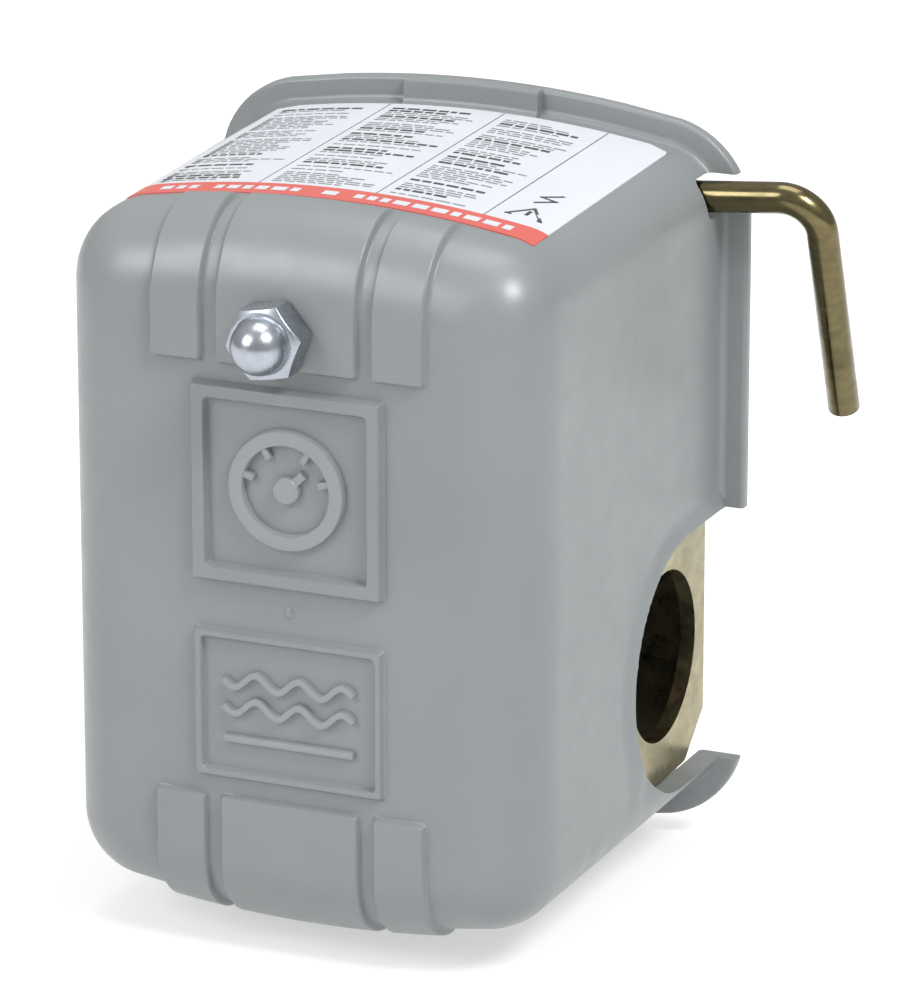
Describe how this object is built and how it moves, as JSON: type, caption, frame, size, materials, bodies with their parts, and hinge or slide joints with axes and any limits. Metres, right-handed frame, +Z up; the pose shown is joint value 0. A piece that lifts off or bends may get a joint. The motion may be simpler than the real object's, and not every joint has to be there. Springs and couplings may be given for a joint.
{
  "type": "pressure switch",
  "caption": "Diaphragm pressure switch for a water pump, with a lift-off grey cover, a bent wire cut-off lever and conduit openings in its sides.",
  "frame": {"origin": "centre of the pressure connection's rear face, where the pipe screws in", "axes": "+X towards the side with the cut-off lever, +Y back along the pressure connection and out of it, +Z up to the labelled side"},
  "size_m": [0.0849, 0.1023, 0.0973],
  "materials": {
    "cover_plastic": "fine-grained moulded grey",
    "label": "printed satin film",
    "yellow_zinc": "yellow passivated zinc",
    "bright_zinc": "bright zinc plate",
    "spring_steel": "drawn spring wire",
    "cast_flange": "die-cast, zinc plated",
    "black_moulding": "moulded phenolic",
    "red_moulding": "moulded phenolic",
    "contact_brass": "satin",
    "rubber": "matt",
    "ground_green": "green lacquer"
  },
  "bodies": {
    "base": {"frame": "yellow_zinc", "lever_bracket": "yellow_zinc", "bracket_screw": "bright_zinc", "range_stud": "bright_zinc", "range_spring": "spring_steel", "differential_stud": "bright_zinc", "differential_spring": "spring_steel", "pivot_pin": "bright_zinc", "pin_clip": "spring_steel", "diaphragm": "rubber", "pressure_flange": "cast_flange", "housing_screw_1": "bright_zinc", "housing_screw_2": "bright_zinc", "housing_screw_3": "bright_zinc", "housing_screw_4": "bright_zinc", "terminal_block": "black_moulding", "terminal_1": "contact_brass", "terminal_2": "contact_brass", "terminal_3": "contact_brass", "terminal_4": "contact_brass", "wire_clamp_1": "bright_zinc", "wire_clamp_2": "bright_zinc", "wire_clamp_3": "bright_zinc", "wire_clamp_4": "bright_zinc", "terminal_screw_1": "contact_brass", "terminal_screw_2": "contact_brass", "terminal_screw_3": "contact_brass", "terminal_screw_4": "contact_brass", "block_screw_1": "bright_zinc", "block_screw_2": "bright_zinc", "snap_spring": "spring_steel", "ground_screw": "ground_green"},
    "cover_shell": {"cover": "cover_plastic", "cover_label": "label"},
    "cap": {"cap_nut": "bright_zinc"},
    "lever": {"cutoff_lever": "yellow_zinc", "lever_cam": "bright_zinc", "lever_clip": "spring_steel"},
    "rocker": {"operating_plate": "yellow_zinc", "contact_carrier": "red_moulding", "contact_bridge_1": "contact_brass", "contact_bridge_2": "contact_brass", "contact_spring_1": "spring_steel", "contact_spring_2": "spring_steel"},
    "push_plunger": {"plunger": "bright_zinc"},
    "main_seat": {"range_seat": "bright_zinc"},
    "main_nut": {"range_nut": "bright_zinc"},
    "small_seat": {"differential_seat": "bright_zinc"},
    "small_nut": {"differential_nut": "bright_zinc"}
  },
  "joints": [
    {"name": "cover_lift", "type": "slide", "parent": "base", "child": "cover_shell", "axis": [0, -1, 0], "range_m": [0, 0.085]},
    {"name": "cap_nut_turn", "type": "hinge", "parent": "cover_shell", "child": "cap", "pos_m": [-0.001, -0.0942, 0.0147], "axis": [0, 1, 0], "continuous": true},
    {"name": "cutoff_lever", "type": "hinge", "parent": "base", "child": "lever", "pos_m": [0, -0.036, 0.0204], "axis": [1, 0, 0], "range_deg": [-50, 15]},
    {"name": "rocker_tilt", "type": "hinge", "parent": "base", "child": "rocker", "pos_m": [0, -0.0436, -0.016], "axis": [1, 0, 0], "range_deg": [0, 4.5], "stiffness_Nm_per_rad": 1, "springref_deg": -2.86, "deforming": ["range_spring", "differential_spring", "snap_spring", "diaphragm"]},
    {"name": "plunger_push", "type": "slide", "parent": "base", "child": "push_plunger", "axis": [0, -1, 0], "range_m": [0, 0.0012], "deforming": ["diaphragm"]},
    {"name": "range_seat_travel", "type": "slide", "parent": "base", "child": "main_seat", "axis": [0, 1, 0], "range_m": [-0.00397, 0.00556], "deforming": ["range_spring"]},
    {"name": "range_nut_turn", "type": "hinge", "parent": "main_seat", "child": "main_nut", "pos_m": [-0.001, -0.0799, 0.0147], "axis": [0, 1, 0], "range_deg": [-1802, 2522], "deforming": ["range_spring"]},
    {"name": "differential_seat_travel", "type": "slide", "parent": "base", "child": "small_seat", "axis": [0, 1, 0], "range_m": [-0.00397, 0.00556], "deforming": ["differential_spring"]},
    {"name": "differential_nut_turn", "type": "hinge", "parent": "small_seat", "child": "small_nut", "pos_m": [0.0145, -0.062, 0.0055], "axis": [0, 1, 0], "range_deg": [-1802, 2522], "deforming": ["differential_spring"]}
  ],
  "couplings": [
    {"joint": "plunger_push", "follows": "rocker_tilt", "m_per_rad": 0.015},
    {"joint": "range_nut_turn", "follows": "range_seat_travel", "rad_per_m": 7913.3},
    {"joint": "differential_nut_turn", "follows": "differential_seat_travel", "rad_per_m": 7913.3}
  ]
}
